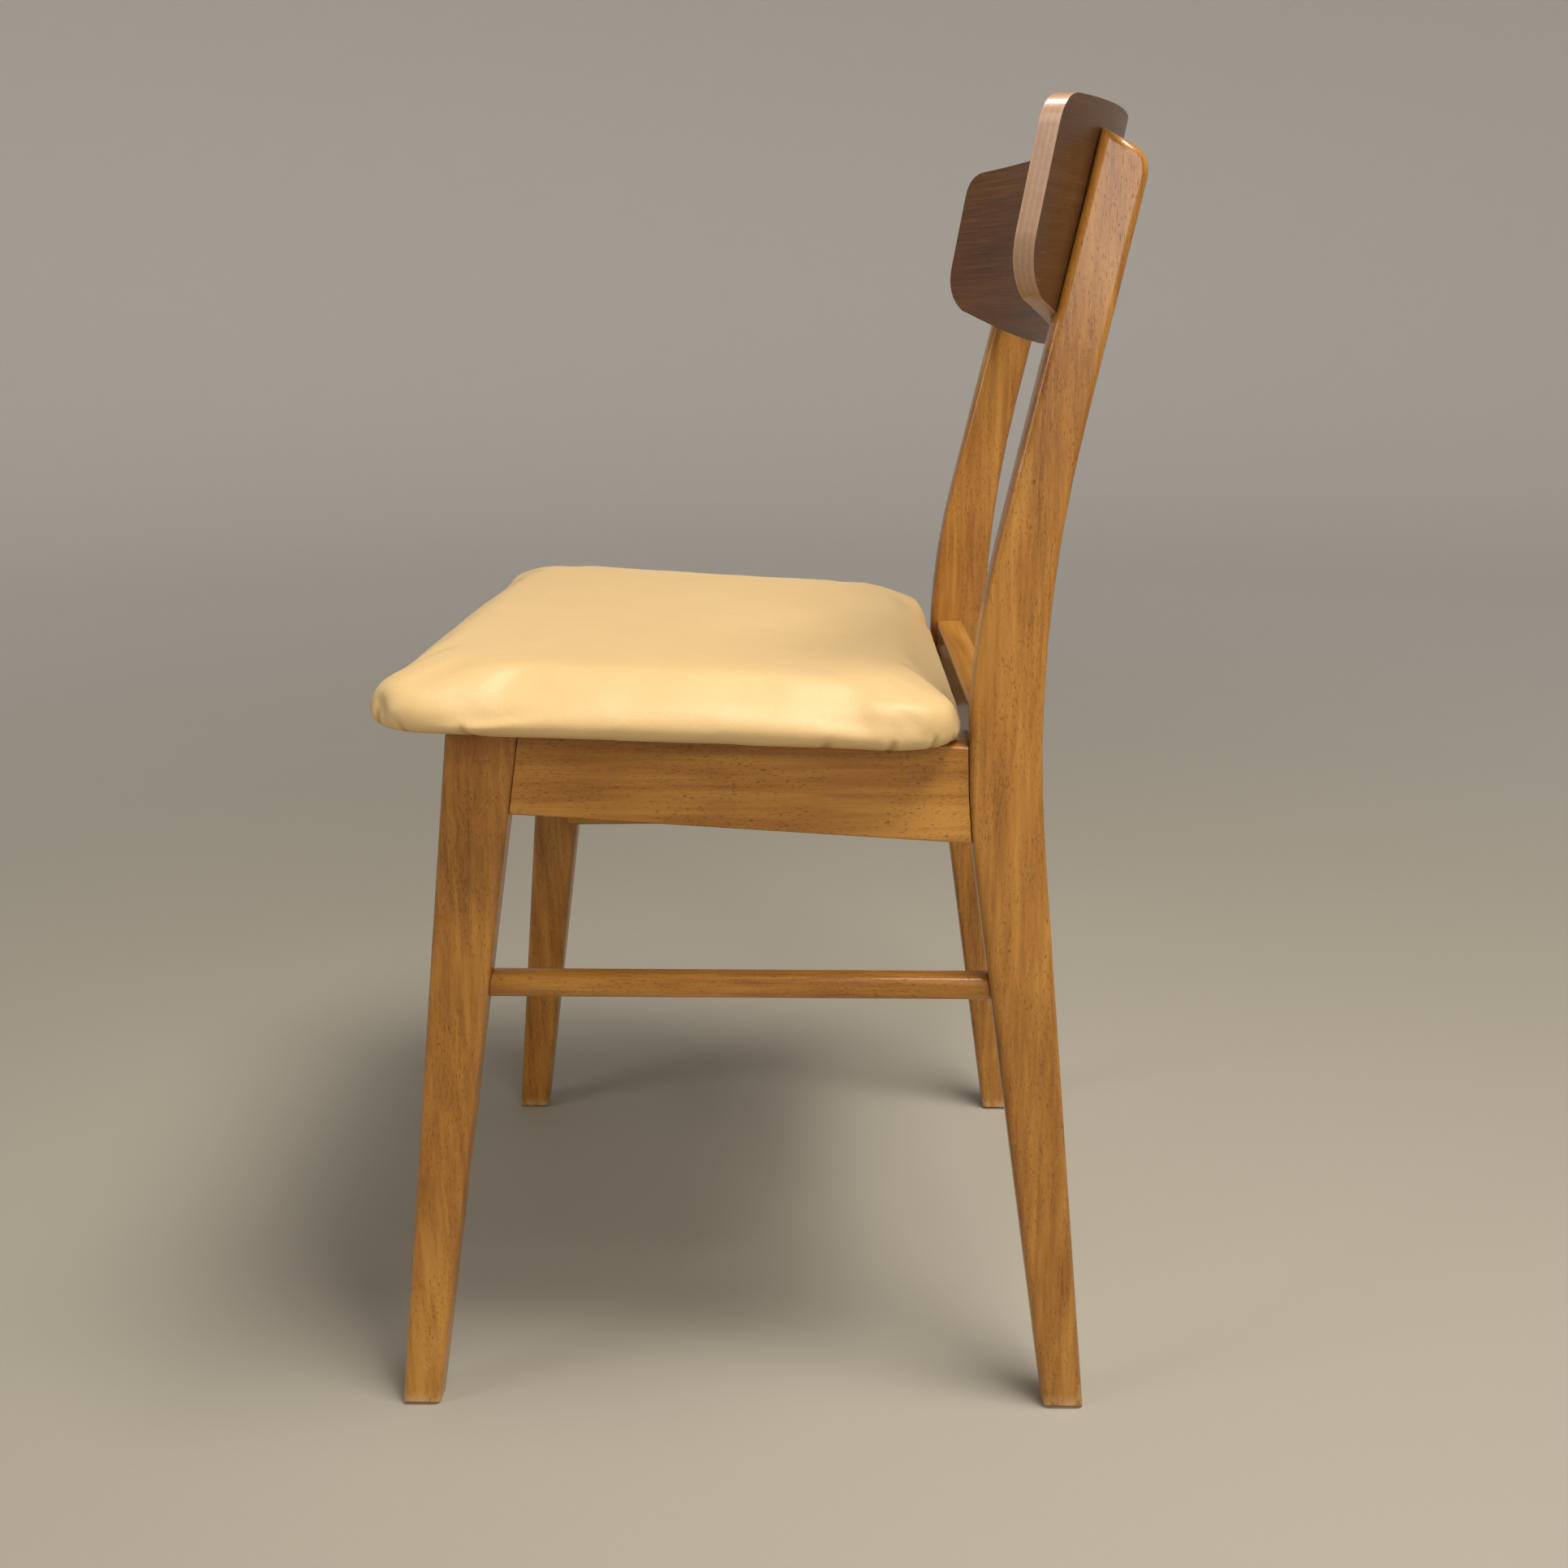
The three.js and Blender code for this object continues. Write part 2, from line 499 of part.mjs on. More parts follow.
function blockScrew(corner, toward, grow = 0) {
  const { side, end } = corner;
  const { x, y } = blockFrame(corner);
  const z = blockLevel(corner, y);
  const back = 17;
  const [head, along] = toward === 'side'
    ? [[side * (x - back), y - end * (BLOCK.leg - 9), z - 4], [side, 0, 0]]
    : [[side * (x - BLOCK.leg + 9), y - end * back, z - 4], [0, end, 0]];
  const long = back + (toward === 'side' ? 11 : 9);
  const body = screwBody(BLOCK_SCREW, head, along, long, grow);
  if (grow === 0) return body;
  const clear = new THREE.Vector3(...along).multiplyScalar(-30).add(new THREE.Vector3(...head)).toArray();
  return body.add(solid(bar(BLOCK_SCREW.head / 2 + 2 * grow, clear, head)));
}

function seatScrew(corner, grow = 0) {
  const { side, end } = corner;
  const { x, y } = blockFrame(corner);
  const at = [side * (x - BLOCK.leg * 0.42), y - end * BLOCK.leg * 0.42];
  const low = blockLevel(corner, y) - BLOCK.high / 2 - SEAT_SCREW.headHigh - FIT;
  return screwBody(SEAT_SCREW, [...at, low], [0, 0, 1], SEAT_SCREW.long + SEAT_SCREW.headHigh, grow);
}

// ---- assembly --------------------------------------------------------------
const group = new THREE.Group();
group.name = 'dining_chair';
const rearmost = Math.max(uprightBackY(rearLegTop - REAR_LEG.topFall),
  panelMiddle + PANEL.thick + PANEL.lean * (PANEL.top - panelLevel));
group.position.y = -(FRONT_LEG.footFront + rearmost) / 2;   // the base is centred on the origin
const frame = new THREE.Group();
const seat = new THREE.Group();
seat.position.z = SEAT.height;
seat.rotation.x = -Math.atan(SEAT.fall);
group.add(frame, seat);
group.updateMatrixWorld(true);

function piece(parent, name, shape, material) {
  const mesh = new THREE.Mesh(shape.isBufferGeometry ? shape : surface(shape), material());
  mesh.name = name;
  parent.add(mesh);
}

const panelHoles = fixings.map((f) => panelScrew(f, FIT));
const blockHoles = corners.flatMap((corner) =>
  [blockScrew(corner, 'side', FIT), blockScrew(corner, 'cross', FIT)]);

for (const [name, side] of [['left', 1], ['right', -1]]) {
  const mortise = stretcherTenon(side, FIT);
  piece(frame, `${name}_front_leg`, cut(frontLegBody(side), mortise, ...dowelHoles), beech);
  piece(frame, `${name}_rear_leg`, cut(rearLegBody(side), mortise, panelRebate(), ...dowelHoles,
    ...panelHoles, ...fixings.map(plugHole)), beech);
  piece(frame, `${name}_side_rail`, cut(sideRailBody(side), ...dowelHoles, ...blockHoles), beech);
  piece(frame, `${name}_stretcher`, stretcherBody(side), beech);
}
piece(frame, 'front_rail', cut(frontRailBody(), ...dowelHoles, ...blockHoles), beech);
piece(frame, 'rear_rail', cut(rearRailBody(), ...dowelHoles, ...blockHoles), beech);
dowels.forEach(({ name, from, to }) => piece(frame, name, solid(bar(DOWEL.across / 2, from, to)), dowelBeech));

piece(frame, 'back_panel', cut(panelBody(), ...panelHoles), teak);
for (const f of fixings) {
  piece(frame, `${f.name}_panel_screw`, panelScrew(f), steel);
  piece(frame, `${f.name}_panel_plug`, panelPlug(f), beech);
}

const toSeat = seat.matrix.clone().invert();
const seatHoles = corners.map((corner) => solid(surface(seatScrew(corner, FIT)).applyMatrix4(toSeat)));
piece(seat, 'seat_cover', cut(coverBody(), ...seatHoles), leatherette);
piece(seat, 'seat_board', cut(solid(boardGeometry()), ...seatHoles), birchPly);
piece(seat, 'seat_foam', foamGeometry(), foamRubber);

for (const corner of corners) {
  piece(frame, `${corner.name}_corner_block`, blockBody(corner), beechBlock);
  piece(frame, `${corner.name}_block_side_screw`, blockScrew(corner, 'side'), steel);
  piece(frame, `${corner.name}_block_cross_screw`, blockScrew(corner, 'cross'), steel);
  piece(frame, `${corner.name}_seat_screw`, seatScrew(corner), steel);
}

export default group;
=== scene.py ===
"""Dining chair: beech frame, bowed back panel and a padded leatherette seat, dressed round the CAD frame."""

import logging
import math
from dataclasses import dataclass, field
from enum import Enum
from typing import Callable, Optional, Union

import bpy
from mathutils import Matrix, Vector, noise


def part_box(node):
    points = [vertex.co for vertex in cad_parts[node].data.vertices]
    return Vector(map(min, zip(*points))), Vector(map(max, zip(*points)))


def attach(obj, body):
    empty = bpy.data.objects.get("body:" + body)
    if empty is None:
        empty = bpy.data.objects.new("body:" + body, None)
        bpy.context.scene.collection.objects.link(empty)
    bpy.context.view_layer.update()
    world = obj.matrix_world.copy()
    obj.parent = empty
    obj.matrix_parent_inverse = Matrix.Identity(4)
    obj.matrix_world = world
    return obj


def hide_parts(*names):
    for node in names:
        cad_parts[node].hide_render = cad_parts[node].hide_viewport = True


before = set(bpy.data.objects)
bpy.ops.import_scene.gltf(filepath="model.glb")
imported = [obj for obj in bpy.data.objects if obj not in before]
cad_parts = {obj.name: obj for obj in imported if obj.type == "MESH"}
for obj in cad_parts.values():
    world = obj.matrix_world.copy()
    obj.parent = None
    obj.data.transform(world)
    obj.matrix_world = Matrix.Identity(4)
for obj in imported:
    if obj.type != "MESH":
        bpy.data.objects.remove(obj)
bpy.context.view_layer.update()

LOG = logging.getLogger("dining_chair")
MM = 0.001
BODY = "root"

Value = Union["Wire", float, tuple]


# ---- shader graphs ----------------------------------------------------------
def rgba(value: Value) -> Value:
    """A plain colour with full alpha; anything else as it is."""
    return (*value, 1.0) if isinstance(value, tuple) else value


class Wire:
    """One output in a shader graph; arithmetic on it adds Math nodes."""

    def __init__(self, graph: "Graph", socket: bpy.types.NodeSocket) -> None:
        """Keeps the graph and the output socket."""
        self.graph = graph
        self.socket = socket

    def _math(self, operation: str, left: Value, right: Value) -> "Wire":
        """Adds a Math node.

        Args:
            operation: The Math node's operation.
            left: First value.
            right: Second value.

        Returns:
            The node's output.
        """
        return self.graph.node("ShaderNodeMath", {"operation": operation}, {0: left, 1: right})

    def __add__(self, other: Value) -> "Wire":
        """self + other."""
        return self._math("ADD", self, other)

    def __radd__(self, other: Value) -> "Wire":
        """other + self."""
        return self._math("ADD", other, self)

    def __sub__(self, other: Value) -> "Wire":
        """self - other."""
        return self._math("SUBTRACT", self, other)

    def __rsub__(self, other: Value) -> "Wire":
        """other - self."""
        return self._math("SUBTRACT", other, self)

    def __mul__(self, other: Value) -> "Wire":
        """self * other."""
        return self._math("MULTIPLY", self, other)

    def __rmul__(self, other: Value) -> "Wire":
        """other * self."""
        return self._math("MULTIPLY", other, self)

    def above(self, edge: float, soft: float) -> "Wire":
        """A soft step.

        Args:
            edge: Value where the step is half way.
            soft: Half width of the step.

        Returns:
            0 well below the edge and 1 well above it.
        """
        return self.graph.node(
            "ShaderNodeMapRange",
            {"interpolation_type": "SMOOTHSTEP"},
            {"Value": self, "From Min": edge - soft, "From Max": edge + soft},
        )


class Graph:
    """A material's node tree, with one principled surface."""

    MIX_AMOUNT, MIX_UNDER, MIX_OVER, MIX_RESULT = 0, 6, 7, 2

    def __init__(self, name: str) -> None:
        """Starts a material.

        Args:
            name: The material's name.
        """
        self.material = bpy.data.materials.new(name)
        self.material.use_nodes = True
        self.nodes = self.material.node_tree.nodes
        self.links = self.material.node_tree.links
        self.nodes.clear()
        self.surface = self.nodes.new("ShaderNodeBsdfPrincipled")
        end = self.nodes.new("ShaderNodeOutputMaterial")
        self.links.new(self.surface.outputs[0], end.inputs["Surface"])

    def node(
        self,
        kind: str,
        settings: Optional[dict] = None,
        inputs: Optional[dict] = None,
        output: Union[int, str] = 0,
    ) -> Wire:
        """Adds a node.

        Args:
            kind: The node's type.
            settings: Its properties, set first; "stops" fills a colour ramp.
            inputs: Values or wires by socket name or number.
            output: Which output to return.

        Returns:
            That output as a wire.
        """
        made = self.nodes.new(kind)
        for key, value in (settings or {}).items():
            if key == "stops":
                self._stops(made.color_ramp, value)
            else:
                setattr(made, key, value)
        for key, value in (inputs or {}).items():
            if isinstance(value, Wire):
                self.links.new(value.socket, made.inputs[key])
            else:
                made.inputs[key].default_value = value
        return Wire(self, made.outputs[output])

    @staticmethod
    def _stops(ramp: bpy.types.ColorRamp, stops: list) -> None:
        """Fills a colour ramp.

        Args:
            ramp: The ramp.
            stops: Pairs of position and colour.
        """
        while len(ramp.elements) < len(stops):
            ramp.elements.new(0.5)
        for element, (place, colour) in zip(ramp.elements, stops):
            element.position = place
            element.color = (*colour, 1.0)

    def place(self, scale: tuple, offset: tuple = (0.0, 0.0, 0.0), turn: tuple = (0.0, 0.0, 0.0)) -> Wire:
        """Object coordinates, stretched.

        Args:
            scale: Repeats per metre along X, Y and Z.
            offset: Shift added after the stretch.
            turn: Turn in radians.

        Returns:
            The coordinates.
        """
        raw = self.node("ShaderNodeTexCoord", output="Object")
        return self.node(
            "ShaderNodeMapping", inputs={"Vector": raw, "Location": offset, "Rotation": turn, "Scale": scale}
        )

    def noise(self, where: Wire, detail: float = 2.0, rough: float = 0.5, warp: float = 0.0) -> Wire:
        """Cloudy noise of unit scale.

        Args:
            where: Coordinates.
            detail: Octaves.
            rough: How strong the small octaves are.
            warp: Distortion.

        Returns:
            Values around 0.5.
        """
        return self.node(
            "ShaderNodeTexNoise",
            inputs={"Vector": where, "Scale": 1.0, "Detail": detail, "Roughness": rough, "Distortion": warp},
        )

    def mix(self, amount: Value, under: Value, over: Value) -> Wire:
        """Mixes two colours.

        Args:
            amount: Share of the upper colour.
            under: Lower colour.
            over: Upper colour.

        Returns:
            The mixed colour.
        """
        return self.node(
            "ShaderNodeMix",
            {"data_type": "RGBA"},
            {self.MIX_AMOUNT: amount, self.MIX_UNDER: rgba(under), self.MIX_OVER: rgba(over)},
            self.MIX_RESULT,
        )

    def ramp(self, value: Wire, stops: list) -> Wire:
        """Colours a value by a ramp.

        Args:
            value: The value.
            stops: Pairs of position and colour.

        Returns:
            The colour.
        """
        return self.node("ShaderNodeValToRGB", {"stops": stops}, {"Fac": value})

    def feed(self, **sockets: Value) -> None:
        """Sets or links the surface's sockets.

        Args:
            **sockets: Values by socket name, with _ for a space.
        """
        for key, value in sockets.items():
            socket = self.surface.inputs[key.replace("_", " ")]
            if isinstance(value, Wire):
                self.links.new(value.socket, socket)
            else:
                socket.default_value = rgba(value)

    def stored(self, name: str) -> Wire:
        """A number stored on the mesh, by its attribute's name."""
        return self.node("ShaderNodeAttribute", {"attribute_name": name}, output="Fac")

    def repeat(self, value: Wire) -> Wire:
        """The part of a value after its whole number."""
        return self.node("ShaderNodeMath", {"operation": "FRACT"}, {0: value})

    def relief(self, height: Wire, depth: float, strength: float = 1.0) -> None:
        """Bumps the surface.

        Args:
            height: Height map, 0 to 1.
            depth: Height of 1, in metres.
            strength: Share of the effect.
        """
        bump = self.node("ShaderNodeBump", inputs={"Height": height, "Distance": depth, "Strength": strength})
        self.links.new(bump.socket, self.surface.inputs["Normal"])


# ---- finishes ---------------------------------------------------------------
class Grain(Enum):
    """Which way a piece's wood grain runs."""

    ACROSS = "x"
    DEEP = "y"
    UP = "z"

    def scale(self, fine: float, long: float) -> tuple:
        """Coordinates' scale for a pattern drawn out along the grain.

        Args:
            fine: Repeats per metre across the grain.
            long: Repeats per metre along it.

        Returns:
            Scale along X, Y and Z.
        """
        return tuple(long if axis == self.value else fine for axis in "xyz")


@dataclass(frozen=True)
class BeechFinish:
    """Honey-stained beech under a satin lacquer."""

    name: str
    grain: Grain
    cut: tuple = (0.0, 0.0, 0.0)
    worn_foot: bool = False
    dark: tuple = (0.175, 0.055, 0.005)
    body: tuple = (0.325, 0.126, 0.014)
    light: tuple = (0.500, 0.232, 0.038)
    fleck: tuple = (0.085, 0.025, 0.003)
    bare: tuple = (0.56, 0.36, 0.17)
    pore_relief: float = 0.06 * MM
    scuff_height: float = 6 * MM
    nick_height: float = 50 * MM

    def make(self) -> bpy.types.Material:
        """Builds the material.

        Returns:
            The material.
        """
        g = Graph(self.name)
        broad = g.noise(g.place(self.grain.scale(30, 2.6), self.cut), 3, 0.55, 0.6)
        streak = g.noise(g.place(self.grain.scale(210, 7), self.cut), 3, 0.6, 0.2)
        fibre = g.noise(g.place(self.grain.scale(1100, 45), self.cut), 2, 0.6)
        cloud = g.noise(g.place((11, 11, 11), self.cut), 2, 0.5)
        tone = broad * 0.46 + streak * 0.34 + cloud * 0.2
        colour = g.ramp(tone, [(0.38, self.dark), (0.5, self.body), (0.62, self.light)])
        colour = g.mix(fibre.above(0.5, 0.22) * 0.3, colour, self.light)
        dash = g.noise(g.place(self.grain.scale(1500, 290), self.cut), 1.5, 0.5)
        dashes = dash.above(0.635, 0.035)
        patch = g.noise(g.place(self.grain.scale(60, 22), self.cut), 1)
        flecks = dashes * patch.above(0.42, 0.16) * 0.62
        colour = g.mix(flecks, colour, self.fleck)
        pale = g.noise(g.place(self.grain.scale(900, 330), (*self.cut[:2], 7.0)), 1.0)
        colour = g.mix(pale.above(0.64, 0.05) * 0.22, colour, self.light)
        rough = 0.33 + streak * 0.12 + flecks * 0.2
        coat = 0.42 - flecks * 0.3
        if self.worn_foot:
            height = g.node("ShaderNodeSeparateXYZ", inputs={0: g.place((1, 1, 1))}, output=2)
            scuff = g.noise(g.place((170, 170, 90), self.cut), 3, 0.65)
            worn = (1 - height.above(self.scuff_height, self.scuff_height)) * scuff.above(0.46, 0.1)
            nick = g.noise(g.place((95, 95, 60), self.cut), 3, 0.6)
            low = (1 - height.above(self.nick_height, 0.9 * self.nick_height)) * nick.above(0.66, 0.03)
            scars = worn * 0.75 + low * 0.35
            colour = g.mix(scars, colour, self.bare)
            rough = rough + scars * 0.25
            coat = coat - scars * 0.4
        g.feed(
            Base_Color=colour,
            Roughness=rough,
            Coat_Weight=coat,
            Coat_Roughness=0.14,
            Specular_IOR_Level=0.35,
        )
        g.relief(fibre * 0.6 + streak * 0.4 - flecks * 0.8, self.pore_relief, 0.7)
        return g.material


@dataclass(frozen=True)
class TeakFinish:
    """Dark brown veneer with fine straight grain across the back panel, its back face darkened by painted
    shade.
    """

    name: str = "teak_veneer"
    dark: tuple = (0.046, 0.015, 0.003)
    body: tuple = (0.120, 0.042, 0.009)
    light: tuple = (0.200, 0.080, 0.022)
    painted_back_shade: tuple = (0.050, 0.021, 0.004)
    scratch: tuple = (0.46, 0.30, 0.17)
    pore_relief: float = 0.06 * MM
    scratch_turn: float = 0.32

    def make(self) -> bpy.types.Material:
        """Builds the material.

        Returns:
            The material.
        """
        g = Graph(self.name)
        sweep = g.noise(g.place((2.2, 3, 34)), 2, 0.5, 0.5)
        band = g.noise(g.place((5, 8, 190)), 3, 0.6, 0.3)
        line = g.noise(g.place((14, 30, 900)), 2, 0.6)
        tone = sweep * 0.32 + band * 0.3 + line * 0.38
        colour = g.ramp(tone, [(0.34, self.dark), (0.5, self.body), (0.66, self.light)])
        pore = g.noise(g.place((190, 400, 2100)), 1, 0.5).above(0.66, 0.03)
        colour = g.mix(pore * 0.7, colour, self.dark)
        haze = g.noise(g.place((9, 9, 9)), 3, 0.6)
        colour = g.mix(haze.above(0.55, 0.14) * 0.16, colour, self.light)
        # painted shade: the panel's back face is darkened towards a shaded colour, by depth through the panel
        depth = g.stored("ply_depth")
        colour = g.mix(depth.above(0.5, 0.2) * 0.5, colour, self.painted_back_shade)
        hair = g.noise(g.place((16, 30, 1300), turn=(0.0, self.scratch_turn, 0.0)), 1, 0.3)
        rub = g.noise(g.place((7, 7, 12), (3.0, 1.0, 5.0)), 2).above(0.56, 0.06)
        scratches = hair.above(0.765, 0.012) * rub
        colour = g.mix(scratches * 0.55, colour, self.scratch)
        g.feed(
            Base_Color=colour,
            Roughness=0.36 + band * 0.14 + haze * 0.08,
            Coat_Weight=0.4 - pore * 0.3,
            Coat_Roughness=0.24,
            Specular_IOR_Level=0.32,
        )
        g.relief(line * 0.6 + band * 0.4 - pore * 0.7 - scratches * 0.3, self.pore_relief, 0.7)
        return g.material


@dataclass(frozen=True)
class PlyEdgeFinish:
    """Rounded, lacquered edge of the back panel with its layers just showing."""

    name: str = "ply_edge"
    layers: int = 7
    pale: tuple = (0.40, 0.230, 0.125)
    amber: tuple = (0.26, 0.135, 0.070)
    glue: tuple = (0.140, 0.066, 0.034)
    layer_relief: float = 0.06 * MM

    def make(self) -> bpy.types.Material:
        """Builds the material.

        Returns:
            The material.
        """
        g = Graph(self.name)
        depth = g.stored("ply_depth")
        drift = g.noise(g.place((30, 30, 30)), 2) * 0.22
        layer = (depth + drift * 0.25) * self.layers
        stripe = g.repeat(layer * 0.5).above(0.5, 0.09)
        grain = g.noise(g.place((260, 260, 420)), 3, 0.6)
        colour = g.mix(stripe * 0.35, self.pale, self.amber)
        colour = g.mix(grain.above(0.52, 0.2) * 0.35, colour, self.amber)
        seam = g.repeat(layer)
        colour = g.mix((1 - seam.above(0.07, 0.05)) * 0.3, colour, self.glue)
        worn = g.noise(g.place((70, 70, 50)), 3, 0.6)
        colour = g.mix(worn.above(0.6, 0.08) * 0.3, colour, self.pale)
        g.feed(Base_Color=colour, Roughness=0.34 + grain * 0.14, Coat_Weight=0.7, Coat_Roughness=0.2)
        g.relief(grain * 0.7 + stripe * 0.3, self.layer_relief, 0.6)
        return g.material


@dataclass(frozen=True)
class LeatheretteFinish:
    """Mustard leatherette with a fine pebble grain and painted shade in its pressed folds."""

    name: str = "leatherette"
    body: tuple = (0.620, 0.420, 0.182)
    pale: tuple = (0.680, 0.475, 0.222)
    deep: tuple = (0.540, 0.345, 0.135)
    painted_fold_shade: tuple = (0.300, 0.165, 0.050)
    pebble_relief: float = 0.12 * MM

    def make(self) -> bpy.types.Material:
        """Builds the material.

        Returns:
            The material.
        """
        g = Graph(self.name)
        cells = g.node(
            "ShaderNodeTexVoronoi",
            {"feature": "SMOOTH_F1"},
            {"Vector": g.place((900, 900, 900)), "Scale": 1.0, "Smoothness": 0.35, "Randomness": 1.0},
        )
        fine = g.noise(g.place((2400, 2400, 2400)), 2, 0.6)
        pebble = 1 - cells
        cloud = g.noise(g.place((7, 7, 9)), 3, 0.55)
        smudge = g.noise(g.place((26, 26, 26)), 3, 0.6)
        colour = g.mix(cloud.above(0.5, 0.16) * 0.4, self.body, self.pale)
        colour = g.mix(smudge.above(0.6, 0.12) * 0.16, colour, self.deep)
        colour = g.mix((1 - pebble.above(0.44, 0.14)) * 0.16, colour, self.deep)
        # painted shade: the cover darkens inside its pressed folds, by the stored fold depth
        tuck = g.stored("tuck")
        colour = g.mix(tuck * 0.6, colour, self.painted_fold_shade)
        g.feed(
            Base_Color=colour,
            Roughness=0.46 + smudge * 0.12 - pebble * 0.05,
            Specular_IOR_Level=0.42,
            Sheen_Weight=0.06,
            Sheen_Roughness=0.45,
        )
        g.relief(pebble * 0.8 + fine * 0.2, self.pebble_relief, 0.55)
        return g.material


@dataclass(frozen=True)
class RawWoodFinish:
    """Unfinished wood of the hidden pieces."""

    name: str
    grain: Grain
    body: tuple = (0.60, 0.43, 0.25)
    line: tuple = (0.44, 0.29, 0.15)
    saw_relief: float = 0.1 * MM

    def make(self) -> bpy.types.Material:
        """Builds the material.

        Returns:
            The material.
        """
        g = Graph(self.name)
        streak = g.noise(g.place(self.grain.scale(240, 9)), 3, 0.6, 0.3)
        fibre = g.noise(g.place(self.grain.scale(1200, 60)), 2)
        saw = g.noise(g.place(self.grain.scale(18, 420)), 1).above(0.6, 0.1)
        colour = g.mix(streak.above(0.5, 0.2) * 0.7 + fibre * 0.2, self.body, self.line)
        g.feed(Base_Color=g.mix(saw * 0.12, colour, self.line), Roughness=0.68 + fibre * 0.16)
        g.relief(fibre * 0.6 + saw * 0.4, self.saw_relief, 0.8)
        return g.material


@dataclass(frozen=True)
class ScrewFinish:
    """Dulled zinc-plated steel."""

    name: str = "zinc_screw"
    bright: tuple = (0.58, 0.57, 0.53)
    dull: tuple = (0.33, 0.31, 0.27)
    turning_relief: float = 0.03 * MM

    def make(self) -> bpy.types.Material:
        """Builds the material.

        Returns:
            The material.
        """
        g = Graph(self.name)
        bloom = g.noise(g.place((420, 420, 420)), 3, 0.6)
        turned = g.noise(g.place((2600, 2600, 2600)), 1)
        g.feed(
            Base_Color=g.mix(bloom.above(0.5, 0.2), self.bright, self.dull),
            Metallic=0.92 - bloom * 0.1,
            Roughness=0.26 + bloom * 0.28,
        )
        g.relief(turned, self.turning_relief)
        return g.material


# ---- mesh work --------------------------------------------------------------
def only(obj: bpy.types.Object) -> bpy.types.Object:
    """Makes an object the only selected and active one.

    Args:
        obj: The object.

    Returns:
        The same object.
    """
    bpy.ops.object.select_all(action="DESELECT")
    obj.select_set(True)
    bpy.context.view_layer.objects.active = obj
    return obj


def editing(obj: bpy.types.Object, *steps: Callable[[], object]) -> None:
    """Runs edit-mode steps with the whole mesh selected.

    Args:
        obj: The object.
        *steps: Calls to make in edit mode.
    """
    only(obj)
    bpy.ops.object.mode_set(mode="EDIT")
    bpy.ops.mesh.select_all(action="SELECT")
    for step in steps:
        step()
    bpy.ops.object.mode_set(mode="OBJECT")


def finish_with(obj: bpy.types.Object, kind: str, **settings: object) -> None:
    """Adds a modifier and applies it.

    Args:
        obj: The object.
        kind: The modifier's type.
        **settings: Its properties.
    """
    modifier = only(obj).modifiers.new(kind.lower(), kind)
    for key, value in settings.items():
        setattr(modifier, key, value)
    bpy.ops.object.modifier_apply(modifier=modifier.name)


MERGE_WITHIN = 0.01 * MM
FLAT_WITHIN = math.radians(0.6)


def merged_copy(node: str, name: str) -> bpy.types.Object:
    """Copies a CAD node and joins its loose triangles.

    Args:
        node: The CAD node.
        name: The copy's name.

    Returns:
        The copy, standing where the node stands.
    """
    only(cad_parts[node])
    bpy.ops.object.duplicate()
    copy = bpy.context.object
    for key in [key for key in copy.keys() if key.startswith("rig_")]:
        del copy[key]
    copy.parent = None
    copy.name = name
    copy.data.name = name
    copy.data.materials.clear()
    editing(
        copy,
        lambda: bpy.ops.mesh.remove_doubles(threshold=MERGE_WITHIN),
        lambda: bpy.ops.mesh.dissolve_limited(angle_limit=FLAT_WITHIN),
    )
    return copy


def dress(obj: bpy.types.Object, material: bpy.types.Material) -> bpy.types.Object:
    """Gives a piece its material and body.

    Args:
        obj: The piece.
        material: Its material.

    Returns:
        The piece.
    """
    obj.data.materials.clear()
    obj.data.materials.append(material)
    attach(obj, BODY)
    LOG.info("made %s: %d faces", obj.name, len(obj.data.polygons))
    return obj


def centre(node: str) -> Vector:
    """Middle of a CAD node's box."""
    low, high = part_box(node)
    return (Vector(low) + Vector(high)) / 2


# ---- sub-assemblies ---------------------------------------------------------
@dataclass
class BeechFrame:
    """The legs, rails and stretchers, with softened edges and even shading."""

    sharp_turn: float = math.radians(40)
    pieces: dict = field(
        default_factory=lambda: {
            "left_front_leg": Grain.UP, "right_front_leg": Grain.UP,
            "left_rear_leg": Grain.UP, "right_rear_leg": Grain.UP,
            "left_side_rail": Grain.DEEP, "right_side_rail": Grain.DEEP,
            "left_stretcher": Grain.DEEP, "right_stretcher": Grain.DEEP,
            "front_rail": Grain.ACROSS, "rear_rail": Grain.ACROSS,
        }
    )

    def build(self) -> None:
        """Makes and dresses every piece, each from its own part of the board."""
        for number, (node, grain) in enumerate(self.pieces.items()):
            piece = self.smooth(merged_copy(node, f"{node}_beech"))
            cut = (1.7 * number, 3.1 * number, 5.3 * number)
            finish = BeechFinish(f"beech_{node}", grain, cut, worn_foot="leg" in node)
            dress(piece, finish.make())
            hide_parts(node)

    def smooth(self, piece: bpy.types.Object) -> bpy.types.Object:
        """Shades the rounded edges smoothly and keeps the faces flat.

        Args:
            piece: The piece.

        Returns:
            The piece.
        """
        only(piece)
        bpy.ops.object.shade_smooth_by_angle(angle=self.sharp_turn)
        finish_with(piece, "WEIGHTED_NORMAL", keep_sharp=True, weight=100)
        return piece


